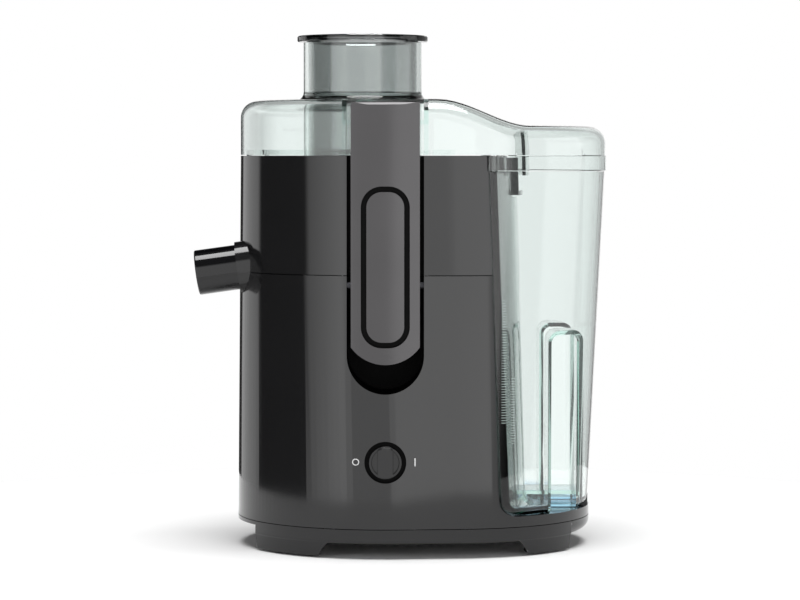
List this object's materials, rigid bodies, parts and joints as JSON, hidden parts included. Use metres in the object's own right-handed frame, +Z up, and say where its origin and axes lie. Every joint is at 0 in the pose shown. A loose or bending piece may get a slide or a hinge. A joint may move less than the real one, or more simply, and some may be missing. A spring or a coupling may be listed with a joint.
{
  "type": "centrifugal juicer",
  "caption": "Countertop centrifugal juicer with a motor base, spouted juice bowl, spinning strainer basket, clear lid with feed chute and pusher, clear pulp container and front latch.",
  "frame": {"origin": "centre of the footprint's box, on the surface the juicer stands on", "axes": "+Z up, +X from the motor axis towards the pulp container, -Y towards the user, on the latch's side"},
  "size_m": [0.245, 0.1886, 0.3028],
  "materials": {
    "gloss_charcoal": "polished charcoal",
    "gloss_black": "polished black",
    "satin_charcoal": "satin charcoal",
    "black_plastic": "moulded black",
    "clear_plastic": "clear with a faint green tint",
    "smoke_plastic": "clear smoke grey",
    "stainless": "brushed",
    "plated_steel": "zinc plated",
    "copper_wire": "lacquered copper",
    "rubber": "matt",
    "nylon": "natural nylon",
    "carbon": "pressed carbon"
  },
  "bodies": {
    "base": {"base_housing": "gloss_charcoal", "bottom_cover": "gloss_black", "foot_front_left": "rubber", "foot_front_right": "rubber", "foot_rear_left": "rubber", "foot_rear_right": "rubber", "cover_screw_1": "stainless", "cover_screw_2": "stainless", "cover_screw_3": "stainless", "cover_screw_4": "stainless", "motor_can": "plated_steel", "motor_bracket": "plated_steel", "motor_cushion": "rubber", "bearing_upper": "stainless", "bearing_lower": "stainless", "stator_stack": "plated_steel", "winding_upper": "copper_wire", "winding_lower": "copper_wire", "brush_holder_left": "nylon", "carbon_brush_left": "carbon", "brush_holder_right": "nylon", "carbon_brush_right": "carbon", "shaft_seal": "rubber", "rotary_switch": "nylon", "interlock_switch": "black_plastic", "cord_gland": "rubber", "latch_pin": "stainless", "juice_bowl": "gloss_charcoal", "juice_spout": "gloss_black"},
    "basket": {"rotor_shaft": "stainless", "armature": "plated_steel", "commutator": "copper_wire", "cooling_fan": "nylon", "drive_coupling": "nylon", "basket_hub": "black_plastic", "grater_disc": "stainless", "strainer": "stainless", "basket_rim": "black_plastic"},
    "lid": {"lid": "clear_plastic"},
    "pusher": {"pusher": "smoke_plastic"},
    "container": {"pulp_container": "clear_plastic"},
    "latch": {"latch_arm": "satin_charcoal", "latch_pad": "satin_charcoal"},
    "knob": {"knob": "gloss_black", "knob_shaft": "stainless"}
  },
  "joints": [
    {"name": "basket_spin", "type": "hinge", "parent": "base", "child": "basket", "pos_m": [-0.00868, 0.00251, 0.1], "axis": [0, 0, 1], "continuous": true},
    {"name": "lid_lift", "type": "slide", "parent": "base", "child": "lid", "axis": [0, 0, 1], "range_m": [0, 0.0628]},
    {"name": "pusher_lift", "type": "slide", "parent": "lid", "child": "pusher", "axis": [0, 0, 1], "range_m": [0, 0.11]},
    {"name": "container_slide", "type": "slide", "parent": "base", "child": "container", "axis": [1, 0, 0], "range_m": [0, 0.13]},
    {"name": "latch_swing", "type": "hinge", "parent": "base", "child": "latch", "pos_m": [-0.00868, -0.07899, 0.1573], "axis": [1, 0, 0], "range_deg": [0, 40]},
    {"name": "knob_turn", "type": "hinge", "parent": "base", "child": "knob", "pos_m": [-0.00868, -0.08249, 0.056], "axis": [0, -1, 0], "range_deg": [-45, 45]}
  ],
  "couplings": [
    {"joint": "latch_swing", "follows": "lid_lift", "rad_per_m": 11.11}
  ]
}
